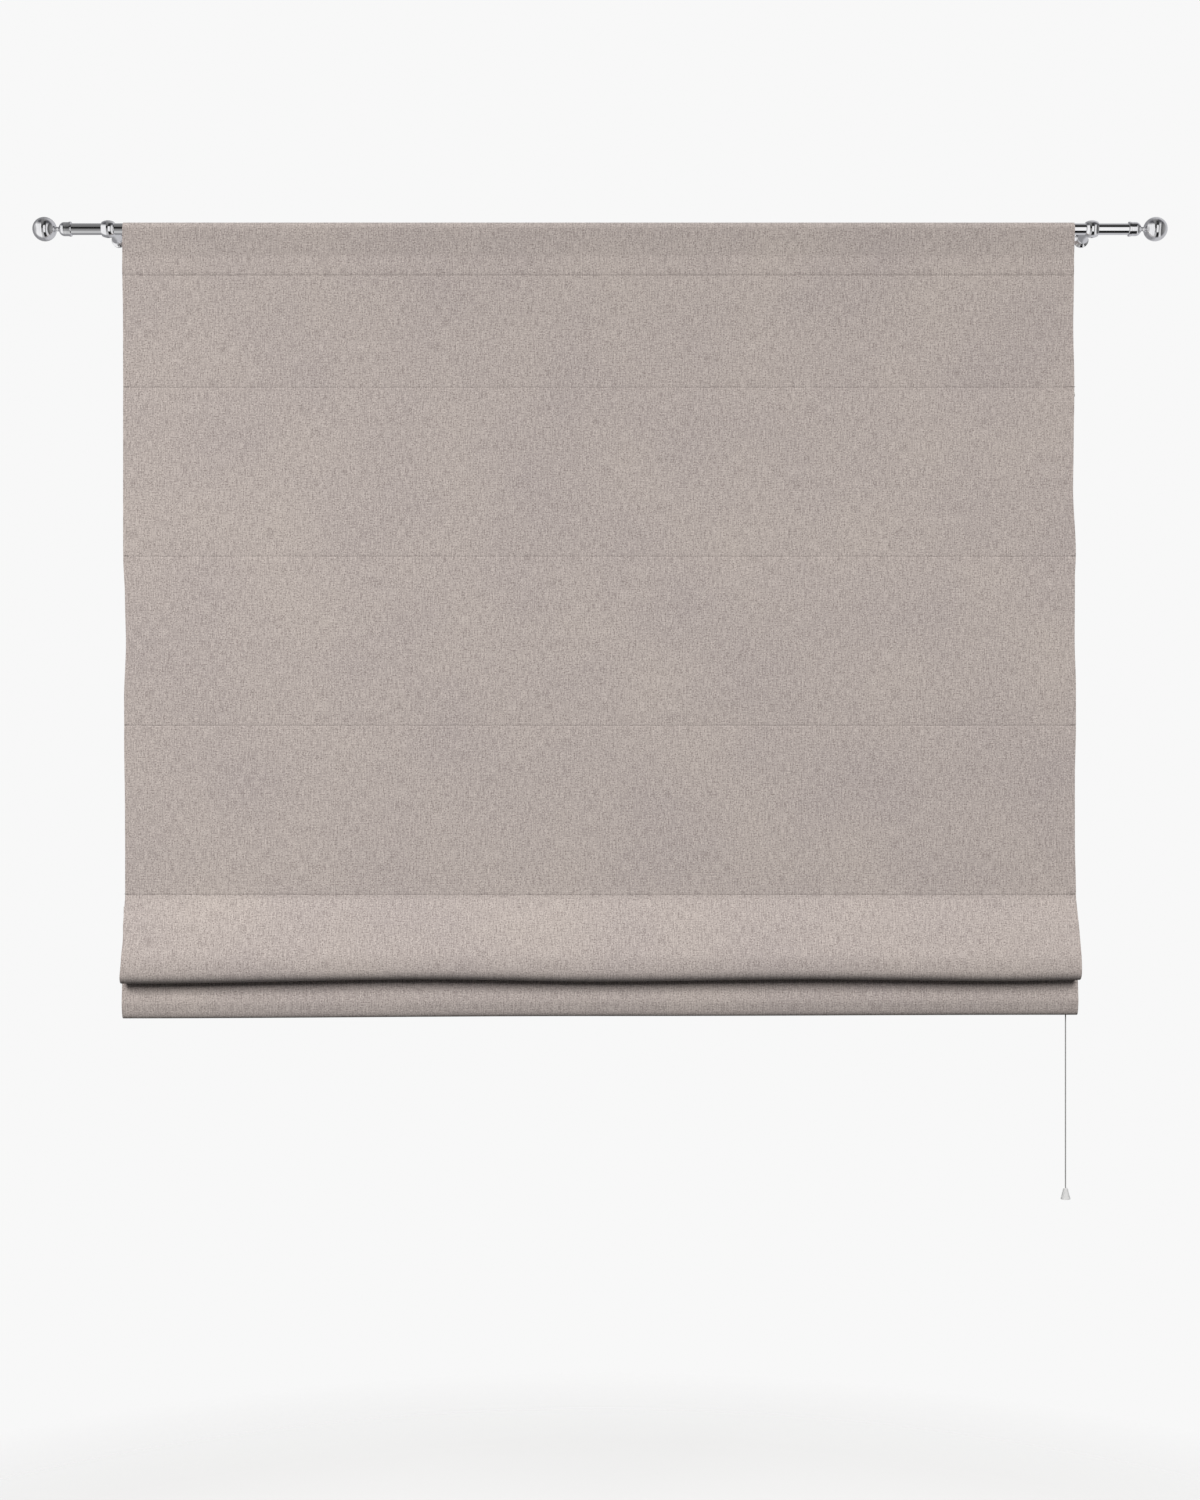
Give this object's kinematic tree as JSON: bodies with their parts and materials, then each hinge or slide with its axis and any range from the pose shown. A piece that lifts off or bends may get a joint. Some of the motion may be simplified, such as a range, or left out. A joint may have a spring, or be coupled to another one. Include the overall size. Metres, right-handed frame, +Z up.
{
  "type": "roman blind",
  "caption": "Fabric roman blind on a chrome pole with ball finials and wall brackets, stiffening rods behind the cloth, lift cords with a lock, and a pull cord.",
  "frame": {"origin": "on the wall, midway between the two brackets and level with the pole's axis", "axes": "+X along the pole, to the right as seen from the room; +Y into the wall, so the front faces -Y; +Z up"},
  "size_m": [1.906, 0.1205, 1.652],
  "materials": {
    "chrome": "polished",
    "satin_steel": "satin, turned",
    "zinc_plate": "zinc plated",
    "black_screw": "blackened",
    "cloth": "fine woven melange, matt",
    "tape": "woven tape, matt",
    "cord": "braided, matt",
    "lath_wood": "planed, bare",
    "glassfibre": "matt",
    "white_plastic": "gloss",
    "clear_plastic": "clear gloss",
    "tassel_plastic": "satin",
    "lock_plastic": "satin",
    "nylon": "matt",
    "brass": "turned, knurled",
    "bright_brass": "bright",
    "aluminium": "mill finish"
  },
  "bodies": {
    "headrail": {"pole": "chrome", "finial_left": "satin_steel", "finial_right": "satin_steel", "bracket_left": "chrome", "bracket_right": "chrome", "wall_plate_left": "zinc_plate", "wall_plate_right": "zinc_plate", "bracket_grub_screws": "black_screw", "finial_grub_screws": "black_screw", "fabric_header": "cloth", "header_lath": "lath_wood", "screw_eyes": "bright_brass", "cord_lock_body": "lock_plastic", "cord_lock_pin": "zinc_plate", "cord_lock_screws": "zinc_plate", "fabric_panel": "cloth", "lift_cord_1": "cord", "lift_cord_2": "cord", "lift_cord_3": "cord", "lift_cord_4": "cord"},
    "lower_panel": {"fabric_fold": "cloth", "weight_bar": "aluminium", "weight_bar_caps": "white_plastic", "cord_orbs": "white_plastic", "stiffening_rod_4": "glassfibre", "rod_tape_4": "tape", "rod_caps_4": "white_plastic", "cord_rings_4": "clear_plastic", "stiffening_rod_5": "glassfibre", "rod_tape_5": "tape", "rod_caps_5": "white_plastic", "cord_rings_5": "clear_plastic"},
    "rod_row_1": {"stiffening_rod_1": "glassfibre", "rod_tape_1": "tape", "rod_caps_1": "white_plastic", "cord_rings_1": "clear_plastic"},
    "rod_row_2": {"stiffening_rod_2": "glassfibre", "rod_tape_2": "tape", "rod_caps_2": "white_plastic", "cord_rings_2": "clear_plastic"},
    "rod_row_3": {"stiffening_rod_3": "glassfibre", "rod_tape_3": "tape", "rod_caps_3": "white_plastic", "cord_rings_3": "clear_plastic"},
    "pull": {"cord_joiner_cap": "clear_plastic", "cord_joiner_plug": "clear_plastic", "pull_cord": "cord", "pull_cord_knot": "cord", "tassel": "tassel_plastic"},
    "roller": {"cord_lock_roller": "brass"},
    "pulley": {"cord_lock_pulley": "nylon"}
  },
  "joints": [
    {"name": "lift", "type": "slide", "parent": "headrail", "child": "lower_panel", "axis": [0, 0, 1], "range_m": [0, 0.6], "deforming": ["fabric_panel", "lift_cord_1", "lift_cord_2", "lift_cord_3", "lift_cord_4"]},
    {"name": "gather_1", "type": "slide", "parent": "headrail", "child": "rod_row_1", "axis": [0, 0, 1], "range_m": [0, 0.109]},
    {"name": "gather_2", "type": "slide", "parent": "headrail", "child": "rod_row_2", "axis": [0, 0, 1], "range_m": [0, 0.2728]},
    {"name": "gather_3", "type": "slide", "parent": "headrail", "child": "rod_row_3", "axis": [0, 0, 1], "range_m": [0, 0.4367]},
    {"name": "pull_down", "type": "slide", "parent": "headrail", "child": "pull", "axis": [0, 0, -1], "range_m": [0, 0.6]},
    {"name": "lock_release", "type": "slide", "parent": "headrail", "child": "roller", "axis": [-0.5, 0, -0.866], "range_m": [0, 0.005]},
    {"name": "pulley_spin", "type": "hinge", "parent": "headrail", "child": "pulley", "pos_m": [0.7784, -0.06665, -0.0671], "axis": [0, 1, 0], "continuous": true}
  ],
  "couplings": [
    {"joint": "gather_1", "follows": "lift", "ratio": 0.18077},
    {"joint": "gather_2", "follows": "lift", "ratio": 0.45385},
    {"joint": "gather_3", "follows": "lift", "ratio": 0.72692},
    {"joint": "pull_down", "follows": "lift", "ratio": 1}
  ]
}
